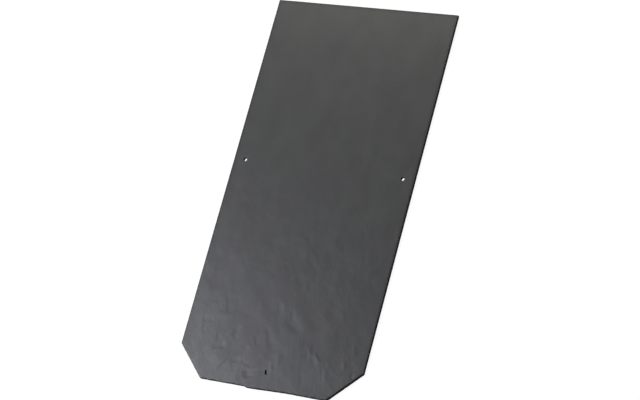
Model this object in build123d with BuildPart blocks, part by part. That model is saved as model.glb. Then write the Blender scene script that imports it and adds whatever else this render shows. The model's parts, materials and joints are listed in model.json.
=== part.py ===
from build123d import *

import os
from math import atan2, degrees

# A roofing slate: one flat sheet with both tail corners trimmed off and its tail edge dressed by
# hand. It is punched for two nails, one near each long side, and slotted for one disc rivet at the
# tail.
#
# It lies on its bed with its face up, in millimetres. X runs across the slate, Y runs up the roof
# from the tail to the head, and Z runs from the bed to the face. The origin is on the bed, under
# the middle of the sheet.

# The sheet. Its length is taken over the proudest bite of the dressed tail.
slate_width = 300.0
slate_length = 600.0
slate_thickness = 5.0

# Both tail corners are trimmed at 45 degrees. This is each leg of the triangle that comes off.
corner_trim = 48.0

# The tail is dressed in a few bites. Each bite runs to a share of the way along the tail, from the
# left trim to the right one, and stands back from the proudest one by a share of the dressing depth.
dressing_depth = 1.7
bite_along_shares = (0.0, 0.35, 0.375, 0.47, 0.66, 0.76, 1.0)
bite_depth_shares = (1.0, 1.0, 0.0, 0.25, 1.0, 0.95, 0.65)

# Dressing also spalls the face along the tail and the trims. The sides and the head keep a fine
# rubbed arris.
spall_width = 1.0
spall_depth = 0.6
arris = 0.35

# Nail holes, in line across the slate just above its middle
nail_hole_radius = 2.75
nail_hole_from_side = 19.0
nail_hole_from_tail = 340.0

# The nail holes are punched from the face, so their rims break out on the bed.
nail_breakout_ring = 1.0
nail_breakout_depth = 0.6

# Slot for the stem of the disc rivet that holds the tail down. It is long in the direction of the
# slope, so that the rivet can follow the spacing of the battens. It was struck by hand, a little to
# the left of the centre line, and turned so that its head end leans to the left.
rivet_slot_width = 2.2
rivet_slot_length = 6.4
rivet_slot_from_tail = 26.6
rivet_slot_off_centre = 1.2
rivet_slot_turn = 17.0

half_width = slate_width / 2
tail_y = -slate_length / 2
head_y = slate_length / 2


def tail_points():
    """The dressed tail from left to right. Its two ends lie on the 45 degree trims."""
    depths = [dressing_depth * share for share in bite_depth_shares]
    left_x = -half_width + corner_trim - depths[0]
    right_x = half_width - corner_trim + depths[-1]
    return [
        (left_x + (right_x - left_x) * along, tail_y + depth)
        for along, depth in zip(bite_along_shares, depths)
    ]


def is_dressed(edge):
    """Whether an edge belongs to the tail or a trim, and not to a side or the head."""
    return edge.center().Y < tail_y + corner_trim


with BuildPart() as slate:
    # Sheet with trimmed corners and dressed tail
    with BuildSketch():
        with BuildLine():
            Polyline(
                *tail_points(),
                (half_width, tail_y + corner_trim),
                (half_width, head_y),
                (-half_width, head_y),
                (-half_width, tail_y + corner_trim),
                close=True,
            )
        make_face()
    extrude(amount=slate_thickness)

    # Spalled arris of the tail and the trims, then the rubbed arris of the sides and the head
    face = slate.faces().sort_by(Axis.Z)[-1]
    dressed_rim = face.edges().filter_by(is_dressed)
    chamfer(dressed_rim, length=spall_width, length2=spall_depth, reference=face)
    face = slate.faces().sort_by(Axis.Z)[-1]
    rubbed_rim = face.edges().filter_by(lambda edge: not is_dressed(edge))
    chamfer(rubbed_rim, length=arris)

    # Nail holes, each with a breakout cone on the bed
    nail_x = half_width - nail_hole_from_side
    nail_y = tail_y + nail_hole_from_tail
    for x in (-nail_x, nail_x):
        with Locations(Plane(origin=(x, nail_y, 0), z_dir=(0, 0, -1))):
            CounterSinkHole(
                nail_hole_radius,
                nail_hole_radius + nail_breakout_ring,
                depth=slate_thickness,
                counter_sink_angle=2 * degrees(atan2(nail_breakout_ring, nail_breakout_depth)),
            )

    # Rivet slot
    with BuildSketch():
        with Locations((-rivet_slot_off_centre, tail_y + rivet_slot_from_tail)):
            SlotOverall(rivet_slot_length, rivet_slot_width, rotation=90 + rivet_slot_turn)
    extrude(amount=slate_thickness, mode=Mode.SUBTRACT)

slate.part.label = "slate"

os.makedirs("parts", exist_ok=True)
export_step(slate.part, "parts/slate.step")
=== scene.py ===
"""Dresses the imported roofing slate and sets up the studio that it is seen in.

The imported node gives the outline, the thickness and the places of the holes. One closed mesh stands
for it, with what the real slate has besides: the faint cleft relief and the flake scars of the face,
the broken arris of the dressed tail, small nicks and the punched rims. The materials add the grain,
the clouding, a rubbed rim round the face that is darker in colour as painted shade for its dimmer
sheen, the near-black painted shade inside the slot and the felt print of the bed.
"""

import json
import random
from math import cos, pi, radians, sin

import bpy
import numpy as np
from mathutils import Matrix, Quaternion, Vector, noise
from mathutils.geometry import delaunay_2d_cdt


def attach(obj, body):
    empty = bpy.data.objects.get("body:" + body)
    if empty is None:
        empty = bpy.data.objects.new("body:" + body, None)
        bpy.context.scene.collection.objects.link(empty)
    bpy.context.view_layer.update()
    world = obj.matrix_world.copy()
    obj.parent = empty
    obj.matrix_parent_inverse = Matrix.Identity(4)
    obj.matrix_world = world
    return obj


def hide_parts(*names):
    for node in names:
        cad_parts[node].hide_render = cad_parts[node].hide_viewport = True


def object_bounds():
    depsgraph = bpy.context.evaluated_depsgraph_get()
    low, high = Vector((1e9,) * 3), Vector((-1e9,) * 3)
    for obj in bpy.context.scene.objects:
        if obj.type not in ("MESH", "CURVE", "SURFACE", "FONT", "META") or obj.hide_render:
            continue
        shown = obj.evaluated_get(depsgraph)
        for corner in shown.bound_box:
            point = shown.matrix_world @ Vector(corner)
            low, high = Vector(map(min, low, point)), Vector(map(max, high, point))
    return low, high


# Lengths are in metres, as in the frame
MM = 0.001

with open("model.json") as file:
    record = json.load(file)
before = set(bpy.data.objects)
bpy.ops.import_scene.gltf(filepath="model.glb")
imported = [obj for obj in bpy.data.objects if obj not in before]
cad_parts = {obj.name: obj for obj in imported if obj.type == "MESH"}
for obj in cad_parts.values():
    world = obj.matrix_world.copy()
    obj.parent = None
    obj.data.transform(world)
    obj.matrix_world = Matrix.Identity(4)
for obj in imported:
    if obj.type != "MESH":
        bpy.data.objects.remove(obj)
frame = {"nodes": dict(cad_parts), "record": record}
cad_low, cad_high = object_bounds()
thickness = cad_high.z - cad_low.z
mounts = {mount["name"]: mount for mount in frame["record"]["mounts"]}

# Finishes of the slate, in the order in which its materials are added. The slot's finish is painted
# shade: a near-black colour for the shade inside the narrow slot.
FACE_FINISH, BROKEN_FINISH, BED_FINISH, SLOT_SHADE_FINISH = range(4)

# Spacing of the mesh points: along the rim, along the slot's straight sides, over the exposed part of
# the face, over its covered part, and over the bed
rim_step = 1.1 * MM
slot_step = 0.6 * MM
exposed_step = 1.35 * MM
covered_step = 2.4 * MM
bed_step = 5.0 * MM

# Points in each half round of a hole, and rings down the rim's wall
half_round_points = 20
wall_layers = 6

# The laid slate shows only its tail part, where the mesh is finer. Above it the step grows.
exposed_length = 250 * MM
exposed_fade = 70 * MM

# Rows of mesh points that follow the rim and the holes, by their gaps from the broken arris or lip,
# and how far the grid keeps clear of both. The ripple of a lip can make it wider by the spread.
face_rim_gaps = (0.7 * MM, 1.7 * MM)
face_rim_clearance = 1.2 * MM
face_hole_gaps = (0.4 * MM, 1.2 * MM)
face_hole_clearance = 2.8 * MM
lip_spread = 1.5
bed_rim_gap = 1.8 * MM
bed_rim_clearance = 4 * MM
bed_hole_clearance = 3.5 * MM

# Edges sharper than this stay sharp in the shading
sharp_angle = radians(32)

# Each layer of noise has a seed of its own, which moves the noise on by this. From one octave to the
# next its size falls by the ratio, and its height by the ratio to the power of the falloff.
seed_shift = Vector((7.3, 3.1, 1.9))
octave_ratio = 2.0
octave_falloff = 1.0

# Cleft relief: the size of each layer's features, and its height. The terraces show in patches only,
# and each one steps up over a short share of the way between two levels.
swell_size = 110 * MM
swell_height = 0.02 * MM
terrace_size = 60 * MM
terrace_height = 0.035 * MM
terrace_levels = 5
terrace_riser_shares = (0.42, 0.58)
terrace_patch_size = 26 * MM
terrace_patch_band = (-0.05, 0.35)
fold_size = 34 * MM
fold_height = 0.12 * MM
mottling_size = 13 * MM
mottling_height = 0.04 * MM

# The slate's grain runs a little off its length, and the relief is drawn out along it
grain_turn = radians(15)
grain_stretch = 1.3

# Strength of the relief at the tail, what it gains and then loses up the slate, and between which
# heights over the tail
relief_at_tail = 0.9
relief_gain = 0.5
relief_grows = (60 * MM, 240 * MM)
relief_loss = 0.9
relief_fades = (340 * MM, 480 * MM)

# The face lies under the solid's by this on average, so that the relief stays close to it
face_sink = 0.06 * MM

# How far in from the outline the face is rubbed, its colour darker there as painted shade for the
# dimmer sheen of a rubbed rim, and the share of that width with the full wear and darkening
edge_wear_shade_width = 3.2 * MM
full_wear_shade_share = 0.4

# Broken edges: the spall along the dressed tail and the trims, and the fine arris of the rest. Each
# varies along the rim, over features of these sizes and by these shares of itself.
spall_width = 1.0 * MM
spall_depth = 0.6 * MM
fine_spall_size = 4 * MM
fine_spall_share = 0.5
coarse_spall_size = 16 * MM
coarse_spall_share = 0.25
arris = 0.35 * MM
arris_wobble_size = 5 * MM
arris_wobble_share = 0.25
least_break = 0.2 * MM
most_break_width = 3.2 * MM
most_break_depth_share = 0.5

# The broken arris has rings at these shares of its width. They are rough by a share of its depth.
break_ring_shares = (0.6, 0.25)
break_grit_size = 2.2 * MM
break_grit_share = 0.2

# Scallops that the dressing leaves along the tail. A higher sharpness makes them narrower. They keep
# a share of their depth at the bed.
scallop_length = 7 * MM
scallop_depth = 0.45 * MM
scallop_sharpness = 2
scallop_bed_share = 0.5

# Small knocks all round the rim, and bites along the tail: how many, and between which depths and
# widths in mm. They reach down the wall by a share of their depth.
knock_count = 26
knock_depths = (0.15, 0.55)
knock_widths = (0.8, 2.4)
knock_down_share = 0.7
bite_count = 34
bite_depths = (0.3, 1.0)
bite_widths = (1.0, 3.4)
bite_down_share = 0.5

# The wall is rough from the saw, and rougher by a gain where it is dressed. Its features are shorter
# along the height, by the squash. It ends in a small arris on the bed.
saw_roughness = 0.07 * MM
saw_grit_size = 3 * MM
saw_grit_squash = 3
dressed_roughness_gain = 2
bed_arris_width = 0.2 * MM
bed_arris_depth = 0.15 * MM

# An edge of the outline is part of the tail, or dressed, where its outward normal points towards the
# tail by more than this
tail_facing = 0.9
dressed_facing = 0.5

# Punched rims. The record doesn't give the slot's size and turn, nor how wide the holes break out on
# the bed. A breakout is its ring and its depth, and a negative ring closes the hole towards the bed.
# The lip is broken off to a width, and steepness is its depth over that width. The slot's lip is
# chipped on the side that the chip way, a unit vector, points to.
slot_width = 2.2 * MM
slot_length = 6.4 * MM
slot_turn = radians(17)
nail_breakout = (1.0 * MM, 0.6 * MM)
slot_breakout = (-0.1 * MM, 1.2 * MM)
nail_lip = 0.2 * MM
nail_lip_steepness = 1.0
slot_lip = 0.3 * MM
slot_lip_steepness = 0.3
slot_chip = 0.5 * MM
slot_chip_way = (0.8, 0.6)

# How punched rims vary: the radius by a share of itself, the lip and the breakout by a share of their
# widths, and the wall by a small roughness, each over features of its own size
hole_wander_size = 2.5 * MM
hole_wander_share = 0.05
lip_ripple_size = 1.5 * MM
lip_ripple_share = 0.5
crumble_size = 2.5 * MM
crumble_share = 0.3
hole_grit_size = 1.2 * MM
hole_grit_depth = 0.03 * MM

# Rings down a hole's wall, by their shares of the way, and the bend of its breakout, by its shares of
# the breakout's ring and depth
hole_wall_shares = (0.35, 0.7)
breakout_bend_shares = (0.45, 0.55)


def smooth(value, low, high):
    """Rises from 0 at low to 1 at high, with level ends."""
    share = np.clip((value - low) / (high - low), 0, 1)
    return share * share * (3 - 2 * share)


def ripple(points, size, seed, octaves=3):
    """Fractal noise at each point, about -1 to 1, with its largest features of the given size."""
    shift = seed_shift * seed
    flat = np.asarray(points, float) / size
    if flat.shape[1] == 2:
        flat = np.column_stack([flat, np.zeros(len(flat))])
    return np.array([
        noise.fractal(Vector(point) + shift, octave_falloff, octave_ratio, octaves) for point in flat
    ])


def joined_loops(edges):
    """The loops of places that directed edges make."""
    after = dict(edges)
    loops = []
    while after:
        start, here = after.popitem()
        loop = [start]
        while here != start:
            loop.append(here)
            here = after.pop(here)
        loops.append(np.array(loop))
    return loops


def bed_outline(name):
    """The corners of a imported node's bed without its holes, anticlockwise seen from above.

    They start where the left trim meets the left side. The bed's triangles face down, so their
    loop runs the other way and is turned round.
    """
    flat_within = 0.01 * MM
    digits = 6
    mesh = frame["nodes"][name].data
    mesh.calc_loop_triangles()
    edges = set()
    for triangle in mesh.loop_triangles:
        corners = [mesh.vertices[index].co for index in triangle.vertices]
        if max(corner.z for corner in corners) > cad_low.z + flat_within:
            continue
        keys = [(round(corner.x, digits), round(corner.y, digits)) for corner in corners]
        for start, end in zip(keys, keys[1:] + keys[:1]):
            if (end, start) in edges:
                edges.remove((end, start))
            else:
                edges.add((start, end))
    outer = max(joined_loops(edges), key=lambda loop: np.ptp(loop[:, 0]))[::-1]
    first = np.lexsort((outer[:, 1], outer[:, 0]))[0]
    return np.roll(outer, -first, axis=0)


class Rim:
    """Points along the outline, the way inward that keeps mitred corners, and the dressed edges."""

    def __init__(self, corners):
        along = np.roll(corners, -1, axis=0) - corners
        length = np.linalg.norm(along, axis=1)
        normal = np.column_stack([along[:, 1], -along[:, 0]]) / length[:, None]
        before = np.roll(normal, 1, axis=0)
        mitre = (before + normal) / (1 + (before * normal).sum(axis=1))[:, None]
        places, inward, on_tail, dressed = [], [], [], []
        for edge in range(len(corners)):
            pieces = max(1, round(length[edge] / rim_step))
            following = (edge + 1) % len(corners)
            for piece in range(pieces):
                share = piece / pieces
                places.append(corners[edge] + along[edge] * share)
                inward.append(-(mitre[edge] * (1 - share) + mitre[following] * share))
                on_tail.append(-normal[edge][1] > tail_facing)
                dressed.append(-normal[edge][1] > dressed_facing)
        self.places = np.array(places)
        self.inward = np.array(inward)
        self.on_tail = self.blended(on_tail)
        self.dressed = self.blended(dressed)

    def blended(self, flags):
        """The flags as weights that change over a few points."""
        window = 5
        wrapped = np.pad(np.array(flags, float), window // 2, mode="wrap")
        return np.convolve(wrapped, np.full(window, 1 / window), "valid")

    def ring(self, inset, height):
        """The rim moved inward by inset, at the given height."""
        flat = self.places + self.inward * np.reshape(inset, (-1, 1))
        return np.column_stack([flat, np.broadcast_to(height, len(flat))])


class Hole:
    """A punched hole or slot: points round a short straight core, turned from Y to the left.

    Its lip is broken off to a width, and a chip makes it wider at one side.
    """

    def __init__(
        self, mount, width, length, breakout, lip, steepness, seed,
        turn=0.0, chip=0.0, finish=BROKEN_FINISH,
    ):
        self.centre = np.array(mounts[mount]["pos_m"][:2])
        self.across = np.array([cos(turn), sin(turn)])
        self.along = np.array([-sin(turn), cos(turn)])
        self.radius = width / 2
        self.core = (length - width) / 2
        self.breakout_ring, self.breakout_depth = breakout
        self.steepness = steepness
        self.seed = seed
        self.finish = finish
        straight_points = round(2 * self.core / slot_step)
        bases, ways = [], []
        for half_turn, side in ((0, 1), (pi, -1)):
            for point in range(half_round_points):
                angle = half_turn + pi * point / half_round_points
                bases.append((0, side * self.core))
                ways.append((cos(angle), sin(angle)))
            for point in range(straight_points):
                bases.append((0, side * self.core * (1 - 2 * point / straight_points)))
                ways.append((-side, 0))
        axes = np.array([self.across, self.along])
        self.bases = np.array(bases) @ axes + self.centre
        self.ways = np.array(ways, float) @ axes
        self.wall = self.bases + self.ways * self.radius
        wander = ripple(self.wall, hole_wander_size, seed, octaves=2)
        self.wander = hole_wander_share * self.radius * wander
        self.lip = lip + chip * (self.ways @ np.array(slot_chip_way)).clip(0, None)

    def ring(self, out, height):
        """The rim moved outward from the wall by out, at the given height."""
        flat = self.bases + self.ways * np.reshape(self.radius + self.wander + out, (-1, 1))
        return np.column_stack([flat, np.broadcast_to(height, len(flat))])

    def distance(self, points):
        """How far each point lies outside the wall."""
        away = np.asarray(points)[:, :2] - self.centre
        past_core = np.maximum(np.abs(away @ self.along) - self.core, 0)
        return np.hypot(away @ self.across, past_core) - self.radius


def distance_inside(points, corners):
    """How far each point lies inside the outline. It is negative outside."""
    farthest = 1.0
    tie = 1e-9
    nearest = np.full(len(points), farthest)
    for start, end in zip(corners, np.roll(corners, -1, axis=0)):
        along = end - start
        away = points - start
        share = np.clip(away @ along / (along @ along), 0, 1)
        gap = np.linalg.norm(away - share[:, None] * along, axis=1)
        outside = along[0] * away[:, 1] - along[1] * away[:, 0] < 0
        far_side = outside & (gap < nearest + tie) & (share > 0) & (share < 1)
        nearest = np.where(far_side, -gap, np.minimum(nearest, gap))
    return nearest


# Flake scars. Each one is a line with a drop beside it: the place of its middle across from the left
# side and up from the tail in mm, its length, its direction in degrees from X, how far the face drops
# on the left of that way, or rises where the drop is negative, over what width it falls, and over
# what width it comes back.
scars = [
    # Short lines on the left of the tail, and the large facet in its corner
    (57, 116, 27, -75, 0.09, 3, 14),
    (34, 86, 17, 10, 0.11, 3, 14),
    (28, 76, 16, -75, 0.08, 3, 9),
    (56, 64, 11, -75, 0.08, 3, 8),
    (62, 51, 20, 10, 0.12, 3, 11),
    (47, 115, 14, -75, -0.05, 4, 9),
    (62, 29, 22, -40, -0.20, 13, 26),
    # Round the slot: a bar, an arc, a bruise and a line that runs on to the slot
    (96, 34, 14, 10, 0.09, 3, 9),
    (92, 28, 16, -75, 0.06, 3, 10),
    (114, 33, 18, -20, 0.09, 3, 4),
    (138, 26, 18, 5, 0.08, 3, 4),
    (116, 19, 12, -75, 0.20, 7, 20),
    (153, 37, 16, -70, -0.07, 3, 5),
    # Above the slot
    (82, 79, 12, -65, 0.08, 4, 9),
    (81, 70, 14, -55, 0.04, 4, 11),
    (82, 82, 19, -125, 0.09, 5, 8),
    (102, 55, 15, -120, 0.07, 6, 9),
    (117, 70, 17, -55, 0.07, 3, 9),
    (135, 77, 28, -70, 0.08, 4, 10),
    (142, 67, 19, -65, 0.04, 5, 8),
    (133, 40, 21, -35, 0.04, 6, 9),
    (57, 97, 21, 15, -0.07, 7, 10),
    # The wedge near the middle, and the lines above it
    (169, 96, 33, -30, 0.12, 8, 16),
    (164, 114, 16, -75, 0.09, 3, 9),
    (141, 120, 18, -75, 0.07, 3, 10),
    (148, 124, 18, -75, -0.05, 3, 9),
    (157, 168, 15, -75, 0.05, 3, 9),
    # Right of the middle
    (211, 86, 40, -75, 0.06, 11, 18),
    (220, 57, 18, -45, -0.15, 8, 4),
    (205, 67, 16, -60, -0.07, 3, 8),
    (205, 25, 16, -75, 0.07, 4, 12),
    (239, 37, 18, -75, -0.08, 3, 8),
    (223, 130, 35, -75, 0.07, 9, 12),
    (243, 124, 13, -75, -0.06, 3, 9),
    # Near the right side
    (265, 55, 13, -75, -0.09, 3, 6),
    (275, 78, 16, -75, -0.08, 3, 6),
    (276, 55, 16, -35, 0.07, 4, 10),
    (281, 40, 10, -65, 0.15, 4, 9),
    (254, 156, 14, 10, 0.05, 3, 11),
    # Wide and shallow ones
    (238, 84, 27, -90, -0.06, 8, 10),
    (159, 44, 32, -75, -0.05, 8, 10),
    (183, 49, 35, -75, 0.05, 9, 12),
    (112, 112, 32, -65, -0.06, 9, 12),
    (261, 89, 25, -65, 0.06, 8, 10),
    (257, 31, 18, -110, 0.06, 7, 9),
    # A chain of short upright lines over the middle
    (179, 158, 15, -75, 0.05, 3, 9),
    (169, 166, 31, -70, -0.05, 4, 10),
    (183, 179, 28, -75, 0.06, 3, 10),
    (176, 201, 20, -70, -0.05, 3, 8),
    (164, 211, 13, -80, 0.05, 3, 8),
    (195, 213, 13, -40, 0.05, 3, 9),
    (153, 225, 14, -75, -0.05, 3, 8),
    (157, 231, 11, -75, 0.07, 3, 8),
    (207, 232, 13, -75, 0.07, 4, 10),
]

# A scar wanders off its line by about the bend, over features of the bend size. It fades out between
# these shares of its length from its middle. The first scar's noise has this seed.
scar_bend = 1.2 * MM
scar_bend_size = 12 * MM
scar_fade_shares = (0.36, 0.58)
first_scar_seed = 40


def scar_relief(points):
    """The sum of the scars."""
    height = np.zeros(len(points))
    for number, (across, up, length, direction, drop, fall, rise) in enumerate(scars):
        centre = np.array([cad_low.x + across * MM, cad_low.y + up * MM])
        angle = radians(direction)
        along = np.array([cos(angle), sin(angle)])
        side = np.array([-sin(angle), cos(angle)])
        away = points - centre
        near = np.flatnonzero(np.linalg.norm(away, axis=1) < (length + fall + rise) * MM)
        bend = scar_bend * ripple(points[near], scar_bend_size, first_scar_seed + number, octaves=2)
        run = away[near] @ along
        depth = away[near] @ side + bend
        ends = 1 - smooth(np.abs(run), *(share * length * MM for share in scar_fade_shares))
        down = np.clip(depth / (fall * MM) + 0.5, 0, 1)
        back = smooth(depth, 0.5 * fall * MM, (0.5 * fall + rise) * MM)
        height[near] -= drop * MM * ends * (down - back)
    return height


def along_grain(points, stretch):
    """Turns points to the grain, and shortens the way along it, so that noise is drawn out there."""
    across = points @ np.array([cos(grain_turn), sin(grain_turn)])
    along = points @ np.array([-sin(grain_turn), cos(grain_turn)])
    return np.column_stack([across, along / stretch])


def cleft_relief(points):
    """Height of the face over its plane: swell, broken terraces, folds, mottling and the scars."""
    points = np.asarray(points)[:, :2]
    grained = along_grain(points, grain_stretch)
    up = points[:, 1] - cad_low.y
    swell = swell_height * ripple(grained, swell_size, seed=1, octaves=2)
    level = terrace_levels * ripple(grained, terrace_size, seed=2)
    within = level - np.floor(level)
    terrace = smooth(within, *terrace_riser_shares) - within
    broken = smooth(ripple(points, terrace_patch_size, seed=3, octaves=2), *terrace_patch_band)
    folds = ripple(grained, fold_size, seed=4)
    mottling = ripple(points, mottling_size, seed=5, octaves=2)
    gain = relief_gain * smooth(up, *relief_grows)
    loss = relief_loss * smooth(up, *relief_fades)
    strength = relief_at_tail + gain - loss
    relief = terrace_height * terrace * broken + fold_height * folds + mottling_height * mottling
    return swell + strength * relief + scar_relief(points) - face_sink


def hex_grid(step_at):
    """Rows of points in a triangular pattern over the whole sheet. step_at gives the step at y."""
    row_share = 3 ** 0.5 / 2
    rows = []
    y = cad_low.y
    odd = False
    while y < cad_high.y:
        step = step_at(y)
        start = cad_low.x + (step / 2 if odd else 0)
        x = np.arange(start, cad_high.x, step)
        rows.append(np.column_stack([x, np.full(len(x), y)]))
        y += step * row_share
        odd = not odd
    return np.vstack(rows)


def face_step(y):
    """The covered part of the face has fewer points than the exposed part."""
    fade_start = cad_low.y + exposed_length
    share = smooth(np.array(y), fade_start, fade_start + exposed_fade)
    return exposed_step + (covered_step - exposed_step) * float(share)


class Body:
    """Collects the points and faces of the closed mesh."""

    def __init__(self):
        self.points = []
        self.faces = []
        self.finishes = []
        self.count = 0

    def add(self, ring):
        """Adds points and returns their numbers."""
        self.points.append(np.asarray(ring))
        numbers = np.arange(self.count, self.count + len(ring))
        self.count += len(ring)
        return numbers

    def band(self, upper, lower, finish):
        """Quads between two rings that run anticlockwise. With the rings swapped they face inward."""
        for here in range(len(upper)):
            after = (here + 1) % len(upper)
            self.faces.append((upper[here], lower[here], lower[after], upper[after]))
            self.finishes.append(finish)

    def fill(self, rim, holes, loops, loose, height, finish, upward):
        """Triangles inside the rim's ring and outside the holes' loops, through the loose points.

        A triangle lies in a hole where all its corners are on the hole's loop, and its middle is
        nearer than the loop's farthest point.
        """
        inside_constraints = 1
        merged_within = 1e-9
        rings = [rim, *loops]
        known = np.vstack(self.points)[np.concatenate(rings)]
        flat = np.vstack([known[:, :2], loose])
        numbers = np.concatenate([*rings, self.add(np.column_stack([loose, height(loose)]))])
        ring_of = np.full(len(flat), -1)
        edges = []
        start = 0
        for which, ring in enumerate(rings):
            edges += [(start + here, start + (here + 1) % len(ring)) for here in range(len(ring))]
            ring_of[start:start + len(ring)] = which
            start += len(ring)
        _, _, triangles, sources, _, _ = delaunay_2d_cdt(
            [Vector(point) for point in flat], edges, [], inside_constraints, merged_within
        )
        origin = np.array([source[0] for source in sources])
        triangles = origin[np.array([tuple(triangle) for triangle in triangles])]
        middle = flat[triangles].mean(axis=1)
        solid = np.ones(len(triangles), bool)
        for which, hole in enumerate(holes, start=1):
            reach = hole.distance(flat[ring_of == which]).max()
            on_loop = (ring_of[triangles] == which).all(axis=1)
            solid &= ~(on_loop & (hole.distance(middle) < reach))
        for corners in numbers[triangles[solid]]:
            self.faces.append(tuple(corners if upward else corners[::-1]))
            self.finishes.append(finish)


def notches(rim, count, depths, widths, seed, tail_only):
    """Extra inset along the rim: notches at random places, between two depths and widths in mm."""
    draw = random.Random(seed)
    inset = np.zeros(len(rim.places))
    spots = np.flatnonzero(rim.on_tail > 0.5) if tail_only else np.arange(len(rim.places))
    for _ in range(count):
        spot = spots[draw.randrange(len(spots))]
        depth = draw.uniform(*depths) * MM
        width = draw.uniform(*widths) * MM
        gap = np.linalg.norm(rim.places - rim.places[spot], axis=1)
        inset = np.maximum(inset, depth * (1 - smooth(gap, 0, width)))
    return inset


def rings_over_rim(rim):
    """The rings from the face's boundary, over the broken arris and down the wall, to the bed's."""
    tail, dressed = rim.on_tail, rim.dressed
    wobble = ripple(rim.places, arris_wobble_size, seed=11)
    fine_spall = fine_spall_share * ripple(rim.places, fine_spall_size, seed=12)
    coarse_spall = coarse_spall_share * ripple(rim.places, coarse_spall_size, seed=13, octaves=2)
    spall = 1 + fine_spall + coarse_spall
    rubbed = (1 - dressed) * arris * (1 + arris_wobble_share * wobble)
    knocks = notches(rim, knock_count, knock_depths, knock_widths, seed=5, tail_only=False)
    bites = notches(rim, bite_count, bite_depths, bite_widths, seed=6, tail_only=True)
    width = dressed * spall_width * spall + rubbed + knocks + bites
    depth = dressed * spall_depth * spall + rubbed + knock_down_share * knocks + bite_down_share * bites
    waves = 1 - np.abs(ripple(rim.places, scallop_length, seed=14, octaves=2)) * scallop_sharpness
    scallop = tail * scallop_depth * waves.clip(0, 1)
    width = width.clip(least_break, most_break_width) + scallop
    depth = depth.clip(least_break, most_break_depth_share * thickness)

    top = cad_high.z + cleft_relief(rim.ring(width, 0))
    rings = [rim.ring(width, top)]
    for share in break_ring_shares:
        inset = scallop + (width - scallop) * share
        spots = rim.ring(width * share, share)
        rough = 1 + break_grit_share * ripple(spots, break_grit_size, seed=15, octaves=2)
        rings.append(rim.ring(inset, top - depth * (1 - share) * rough))
    for layer in range(wall_layers):
        share = layer / (wall_layers - 1)
        height = (top - depth) * (1 - share) + (cad_low.z + bed_arris_depth) * share
        rough = 1 + ripple(rim.ring(0, height * saw_grit_squash), saw_grit_size, seed=16)
        grit = saw_roughness * rough * (1 + dressed_roughness_gain * dressed)
        rings.append(rim.ring(scallop * (1 - scallop_bed_share * share) + grit, height))
    under = scallop * scallop_bed_share + bed_arris_width + saw_roughness * (1 + wobble)
    rings.append(rim.ring(under, cad_low.z))
    return rings


def rings_through_hole(hole):
    """The rings from the face's boundary, over the punched lip and down the wall, to the bed's."""
    lip = hole.lip * (1 + lip_ripple_share * ripple(hole.wall, lip_ripple_size, hole.seed + 1, octaves=2))
    crumble = 1 + crumble_share * ripple(hole.wall, crumble_size, hole.seed + 2, octaves=2)
    top = cad_high.z + cleft_relief(hole.ring(lip, 0))
    wall_top = top - hole.steepness * lip
    wall_foot = cad_low.z + hole.breakout_depth
    rings = [hole.ring(lip, top), hole.ring(0, wall_top)]
    grit = hole_grit_depth * ripple(rings[1], hole_grit_size, hole.seed + 3)
    for share in hole_wall_shares:
        rings.append(hole.ring(grit, wall_top * (1 - share) + wall_foot * share))
    rings.append(hole.ring(0, wall_foot))
    bend_out, bend_up = breakout_bend_shares
    bend_height = cad_low.z + bend_up * hole.breakout_depth
    rings.append(hole.ring(bend_out * hole.breakout_ring * crumble, bend_height))
    rings.append(hole.ring(hole.breakout_ring * crumble, cad_low.z))
    return rings


def punched_holes():
    """The two nail holes and the rivet slot, at the places of their mounts."""
    nail = 2 * mounts["nail_hole_left"]["dims"]["r_mm"] * MM
    return [
        Hole("nail_hole_left", nail, nail, nail_breakout, nail_lip, nail_lip_steepness, seed=21),
        Hole("nail_hole_right", nail, nail, nail_breakout, nail_lip, nail_lip_steepness, seed=27),
        # The slot's wall and lip take the near-black colour that paints the shade inside the slot
        Hole(
            "rivet_slot", slot_width, slot_length, slot_breakout, slot_lip, slot_lip_steepness,
            seed=33, turn=slot_turn, chip=slot_chip, finish=SLOT_SHADE_FINISH,
        ),
    ]


def clear_grid(step_at, outline, holes, rim_clearance, hole_clearance):
    """The grid's points that keep clear of the outline and of the holes."""
    grid = hex_grid(step_at)
    clear = distance_inside(grid, outline) > rim_clearance
    for hole in holes:
        clear &= hole.distance(grid) > hole_clearance
    return grid[clear]


def slate_body(outline):
    """The slate's rim, holes, face and bed."""
    rim = Rim(outline)
    holes = punched_holes()
    body = Body()

    rings = rings_over_rim(rim)
    rim_numbers = [body.add(ring) for ring in rings]
    for upper, lower in zip(rim_numbers, rim_numbers[1:]):
        body.band(upper, lower, BROKEN_FINISH)

    face_loops, bed_loops = [], []
    for hole in holes:
        numbers = [body.add(ring) for ring in rings_through_hole(hole)]
        for upper, lower in zip(numbers, numbers[1:]):
            body.band(lower, upper, hole.finish)
        face_loops.append(numbers[0])
        bed_loops.append(numbers[-1])

    margin = np.linalg.norm(rings[0][:, :2] - rim.places, axis=1)
    rows = [rim.ring(margin + gap, 0)[:, :2] for gap in face_rim_gaps]
    rows += [hole.ring(lip_spread * hole.lip + gap, 0)[:, :2] for hole in holes for gap in face_hole_gaps]
    grid = clear_grid(face_step, outline, holes, margin.max() + face_rim_clearance, face_hole_clearance)
    body.fill(
        rim_numbers[0], holes, face_loops, np.vstack([*rows, grid]),
        lambda points: cad_high.z + cleft_relief(points), FACE_FINISH, upward=True,
    )

    row = rim.ring(bed_rim_gap, 0)[::2, :2]
    grid = clear_grid(lambda y: bed_step, outline, holes, bed_rim_clearance, bed_hole_clearance)
    body.fill(
        rim_numbers[-1], holes, bed_loops, np.vstack([row, grid]),
        lambda points: np.full(len(points), cad_low.z), BED_FINISH, upward=False,
    )
    return body


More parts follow.
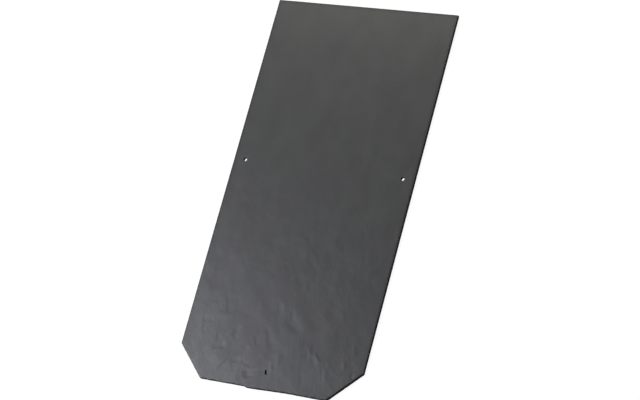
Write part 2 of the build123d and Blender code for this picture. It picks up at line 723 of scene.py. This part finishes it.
def build_slate():
    """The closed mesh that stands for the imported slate."""
    outline = bed_outline("slate")
    body = slate_body(outline)
    points = np.vstack(body.points)
    mesh = bpy.data.meshes.new("slate_dressed")
    mesh.from_pydata(points.tolist(), [], [tuple(int(number) for number in face) for face in body.faces])
    mesh.polygons.foreach_set("material_index", body.finishes)
    mesh.polygons.foreach_set("use_smooth", [True] * len(mesh.polygons))
    mesh.set_sharp_from_angle(angle=sharp_angle)
    margin = distance_inside(points[:, :2], outline)
    # The rim's wear, which darkens the face's colour as painted shade for the rim's dimmer sheen
    wear_and_shade = mesh.attributes.new("edge_wear_shade", "FLOAT", "POINT")
    wear_and_shade.data.foreach_set("value", 1 - smooth(margin, full_wear_shade_share * edge_wear_shade_width, edge_wear_shade_width))
    mesh.update()
    slate = bpy.data.objects.new("slate_dressed", mesh)
    bpy.context.scene.collection.objects.link(slate)
    return slate


def node(tree, kind, inputs=None, **properties):
    """Adds a shader node. A socket given as an input is linked, and any other value is set."""
    made = tree.nodes.new(kind)
    for name, value in properties.items():
        setattr(made, name, value)
    for name, value in (inputs or {}).items():
        if isinstance(value, bpy.types.NodeSocket):
            tree.links.new(value, made.inputs[name])
        else:
            made.inputs[name].default_value = value
    return made


def new_material(name):
    """An empty material, its node tree and the object coordinates in metres."""
    material = bpy.data.materials.new(name)
    material.use_nodes = True
    tree = material.node_tree
    tree.nodes.clear()
    place = node(tree, "ShaderNodeTexCoord").outputs["Object"]
    return material, tree, place


def surfaced(material, kind, inputs):
    """Puts a shader on the material's surface, and returns the material."""
    tree = material.node_tree
    shader = node(tree, kind, inputs)
    node(tree, "ShaderNodeOutputMaterial", {"Surface": shader.outputs[0]})
    return material


def noise_at(tree, place, size, detail=3.0, stretch=(1, 1, 1)):
    """Noise with features of the given size in metres, longer along an axis with a stretch over 1."""
    roughness = 0.55
    scaled = node(
        tree, "ShaderNodeMapping",
        {"Vector": place, "Scale": tuple(1 / factor for factor in stretch)},
    )
    made = node(
        tree, "ShaderNodeTexNoise",
        {"Vector": scaled.outputs["Vector"], "Scale": 1 / size, "Detail": detail, "Roughness": roughness},
    )
    return made.outputs["Fac"]


def ranged(tree, value, over, to):
    """Maps one range of a value to another, smoothly and held at the ends."""
    made = node(
        tree, "ShaderNodeMapRange",
        {"Value": value, "From Min": over[0], "From Max": over[1], "To Min": to[0], "To Max": to[1]},
        interpolation_type="SMOOTHSTEP",
    )
    return made.outputs["Result"]


def mixed(tree, share, first, second):
    """Mixes two colours, given as sockets or as plain RGB."""
    made = tree.nodes.new("ShaderNodeMix")
    made.data_type = "RGBA"
    sockets = [socket for socket in made.inputs if socket.type == "RGBA"]
    for socket, value in zip(sockets, (first, second)):
        if isinstance(value, bpy.types.NodeSocket):
            tree.links.new(value, socket)
        else:
            socket.default_value = (*value, 1)
    tree.links.new(share, made.inputs[0])
    return next(socket for socket in made.outputs if socket.type == "RGBA")


def bumped(tree, layers):
    """A chain of bumps from pairs of height socket and depth in metres."""
    normal = None
    for height, depth in layers:
        inputs = {"Height": height, "Distance": depth, "Strength": 1.0}
        if normal:
            inputs["Normal"] = normal
        normal = node(tree, "ShaderNodeBump", inputs).outputs["Normal"]
    return normal


# Colours of the sealed face: its two clouded greys, its stains and specks, and its rubbed rim, darker
# as painted shade for its dimmer sheen, with how far the rim goes towards its colour
face_violet = (0.0396, 0.0386, 0.0404)
face_green = (0.0396, 0.0410, 0.0394)
face_stain = (0.020, 0.020, 0.020)
face_speck = (0.052, 0.052, 0.052)
face_rubbed_shade = (0.010, 0.010, 0.011)
face_rubbed_shade_share = 0.75

# Colours of the broken edges, of the painted shade in the slot and of the bed: the darker and the
# paler grey, and the edges' layers and the bed's specks
edge_dark = (0.028, 0.028, 0.029)
edge_pale = (0.046, 0.046, 0.047)
edge_layer = (0.018, 0.018, 0.019)
slot_shade_dark = (0.006, 0.006, 0.006)
slot_shade_pale = (0.013, 0.013, 0.013)
bed_dark = (0.060, 0.060, 0.060)
bed_pale = (0.082, 0.082, 0.081)
bed_speck = (0.11, 0.11, 0.108)

# Sizes and depths of the textures that are too fine for the mesh. The thin layers in the edges and
# the threads of the felt are drawn out by their stretches.
peel_size = 5 * MM
peel_depth = 0.05 * MM
grain_size = 0.9 * MM
grain_depth = 0.012 * MM
grit_size = 0.7 * MM
grit_depth = 0.08 * MM
layer_size = 0.35 * MM
layer_depth = 0.05 * MM
layer_stretch = 30
thread_size = 0.9 * MM
thread_depth = 0.05 * MM
thread_stretch = 9


def face_material():
    """The sealed face: dark grey and satin, with a fine grain and faint clouding."""
    material, tree, place = new_material("slate_face")
    cloud_noise = noise_at(tree, place, size=70 * MM, detail=4, stretch=(1, 1.6, 1))
    stain_noise = noise_at(tree, place, size=24 * MM, stretch=(1, 1.5, 1))
    speck_noise = noise_at(tree, place, size=1.1 * MM, detail=2)
    gloss_noise = noise_at(tree, place, size=28 * MM, detail=4, stretch=(1, 1.8, 1))
    # The rim's wear mask: it darkens the colour below as painted shade for the rim's dimmer sheen
    worn_and_shaded = node(tree, "ShaderNodeAttribute", attribute_name="edge_wear_shade").outputs["Fac"]
    rubbing_and_shade = {0: worn_and_shaded, 1: face_rubbed_shade_share}
    rubbed = node(tree, "ShaderNodeMath", rubbing_and_shade, operation="MULTIPLY").outputs[0]
    colour = mixed(tree, ranged(tree, cloud_noise, over=(0.35, 0.65), to=(0, 1)), face_violet, face_green)
    colour = mixed(tree, ranged(tree, stain_noise, over=(0.3, 0.7), to=(0, 0.24)), colour, face_stain)
    colour = mixed(tree, ranged(tree, speck_noise, over=(0.6, 0.74), to=(0, 0.5)), colour, face_speck)
    colour = mixed(tree, rubbed, colour, face_rubbed_shade)
    roughness = ranged(tree, gloss_noise, over=(0.3, 0.7), to=(0.31, 0.33))
    peel = noise_at(tree, place, peel_size, stretch=(1, 1.5, 1))
    grain = noise_at(tree, place, grain_size, detail=2)
    normal = bumped(tree, [(peel, peel_depth), (grain, grain_depth)])
    return surfaced(
        material, "ShaderNodeBsdfPrincipled",
        {"Base Color": colour, "Roughness": roughness, "Normal": normal, "IOR": 1.5},
    )


def broken_material():
    """The cut and broken edges: dull dark body with fine layers and grit."""
    material, tree, place = new_material("slate_broken_edge")
    grit = noise_at(tree, place, grit_size)
    layers = noise_at(tree, place, layer_size, detail=2, stretch=(layer_stretch, layer_stretch, 1))
    colour = mixed(tree, ranged(tree, grit, over=(0.3, 0.7), to=(0, 1)), edge_dark, edge_pale)
    colour = mixed(tree, ranged(tree, layers, over=(0.45, 0.65), to=(0, 0.5)), colour, edge_layer)
    normal = bumped(tree, [(layers, layer_depth), (grit, grit_depth)])
    return surfaced(
        material, "ShaderNodeBsdfPrincipled",
        {"Base Color": colour, "Roughness": 0.85, "Normal": normal, "Specular IOR Level": 0.2},
    )


def slot_shade_material():
    """The narrow slot's wall and lip: dull, with a nearly black colour that paints the shade inside the
    slot.
    """
    material, tree, place = new_material("slate_slot_painted_shade")
    grit = noise_at(tree, place, grit_size)
    colour = mixed(tree, ranged(tree, grit, over=(0.3, 0.7), to=(0, 1)), slot_shade_dark, slot_shade_pale)
    return surfaced(
        material, "ShaderNodeBsdfPrincipled",
        {
            "Base Color": colour, "Roughness": 0.9, "Normal": bumped(tree, [(grit, grit_depth)]),
            "Specular IOR Level": 0.1,
        },
    )


def bed_material():
    """The unsealed bed: dull, a little paler, clouded, with the print of the felt it was pressed on."""
    material, tree, place = new_material("slate_bed")
    cloud_noise = noise_at(tree, place, size=60 * MM, detail=5)
    speck_noise = noise_at(tree, place, size=1.4 * MM)
    colour = mixed(tree, ranged(tree, cloud_noise, over=(0.3, 0.7), to=(0, 1)), bed_dark, bed_pale)
    colour = mixed(tree, ranged(tree, speck_noise, over=(0.58, 0.72), to=(0, 0.4)), colour, bed_speck)
    warp = noise_at(tree, place, thread_size, detail=1, stretch=(1, thread_stretch, 1))
    weft = noise_at(tree, place, thread_size, detail=1, stretch=(thread_stretch, 1, 1))
    normal = bumped(tree, [(warp, thread_depth), (weft, thread_depth)])
    return surfaced(
        material, "ShaderNodeBsdfPrincipled",
        {"Base Color": colour, "Roughness": 0.8, "Normal": normal, "Specular IOR Level": 0.3},
    )


# Studio: the floor, its own grey, and the part of its white that only the camera and reflections see;
# the even light of the world; and how far the lights stand off
floor_size = 6.0
floor_gap = 0.05 * MM
floor_grey = 0.1
floor_glow = 0.94
world_strength = 0.155
light_distance = 2.6


def floor_material():
    """White to the camera and in reflections, and a plain grey that catches the shadow beneath."""
    material, tree, _ = new_material("studio_floor")
    path = node(tree, "ShaderNodeLightPath")
    seen = path.outputs["Is Camera Ray"]
    for other in ("Is Glossy Ray", "Is Transmission Ray"):
        both = {0: seen, 1: path.outputs[other]}
        seen = node(tree, "ShaderNodeMath", both, operation="MAXIMUM").outputs[0]
    strength = node(tree, "ShaderNodeMath", {0: seen, 1: floor_glow}, operation="MULTIPLY").outputs[0]
    glow = node(tree, "ShaderNodeEmission", {"Color": (1, 1, 1, 1), "Strength": strength})
    matt = node(tree, "ShaderNodeBsdfDiffuse", {"Color": (floor_grey, floor_grey, floor_grey, 1)})
    return surfaced(material, "ShaderNodeAddShader", {0: glow.outputs[0], 1: matt.outputs[0]})


def build_floor():
    """A flat floor just under the bed."""
    half = floor_size / 2
    mesh = bpy.data.meshes.new("studio_floor")
    level = cad_low.z - floor_gap
    corners = [(-half, -half, level), (half, -half, level), (half, half, level), (-half, half, level)]
    mesh.from_pydata(corners, [], [(0, 1, 2, 3)])
    mesh.materials.append(floor_material())
    floor = bpy.data.objects.new("studio_floor", mesh)
    bpy.context.scene.collection.objects.link(floor)


def build_world():
    """White behind the floor, and a plain even light on the object."""
    world = bpy.data.worlds.new("studio")
    bpy.context.scene.world = world
    world.use_nodes = True
    tree = world.node_tree
    tree.nodes.clear()
    seen = node(tree, "ShaderNodeLightPath").outputs["Is Camera Ray"]
    strength = ranged(tree, seen, over=(0, 1), to=(world_strength, 1))
    background = node(tree, "ShaderNodeBackground", {"Color": (1, 1, 1, 1), "Strength": strength})
    node(tree, "ShaderNodeOutputWorld", {"Surface": background.outputs[0]})


def way_to(azimuth, elevation):
    """The way from the slate to a place. The azimuth turns from the tail to the right side."""
    level = cos(elevation)
    return Vector((sin(azimuth) * level, -cos(azimuth) * level, sin(elevation)))


def soft_light(name, azimuth, elevation, size, brightness, colour=(1, 1, 1)):
    """A square soft box that looks at the slate, with its angles in degrees.

    At a brightness of 1 its own face would be white.
    """
    way = way_to(radians(azimuth), radians(elevation))
    data = bpy.data.lights.new(name, "AREA")
    data.shape = "SQUARE"
    data.size = size
    data.energy = brightness * pi * size ** 2
    data.color = colour
    lamp = bpy.data.objects.new(name, data)
    lamp.location = way * light_distance
    lamp.rotation_mode = "QUATERNION"
    lamp.rotation_quaternion = (-way).to_track_quat("-Z", "Y")
    bpy.context.scene.collection.objects.link(lamp)


# The camera, fitted to the photograph: the lens on its sensor in mm, the point of the bed's plane
# that it aims at, and where it stands from there
camera_sensor = 36
camera_lens = 127.85
camera_aim = Vector((6.94, -6.07, 0)) * MM
camera_distance = 3.321
camera_azimuth = radians(61.310)
camera_elevation = radians(58.213)
camera_roll = radians(-49.668)


def build_camera():
    """The camera at the photograph's viewing angle. The slate lies askew there, so it is rolled."""
    way = way_to(camera_azimuth, camera_elevation)
    data = bpy.data.cameras.new("camera")
    data.sensor_width = camera_sensor
    data.lens = camera_lens
    camera = bpy.data.objects.new("camera", data)
    camera.location = camera_aim + way * camera_distance
    camera.rotation_mode = "QUATERNION"
    roll = Quaternion((0, 0, 1), camera_roll)
    camera.rotation_quaternion = (-way).to_track_quat("-Z", "Y") @ roll
    bpy.context.scene.collection.objects.link(camera)
    bpy.context.scene.camera = camera


slate = build_slate()
for material in (face_material(), broken_material(), bed_material(), slot_shade_material()):
    slate.data.materials.append(material)
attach(slate, "root")
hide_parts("slate")

build_floor()
build_world()
soft_light(
    "side_light", azimuth=283.8, elevation=44.5, size=1.4, brightness=8.7, colour=(0.95, 0.965, 1.075),
)
soft_light(
    "head_light", azimuth=209.9, elevation=33.6, size=1.0, brightness=15.0, colour=(1.03, 1.03, 0.94),
)
build_camera()

bpy.context.scene.view_settings.view_transform = "Standard"
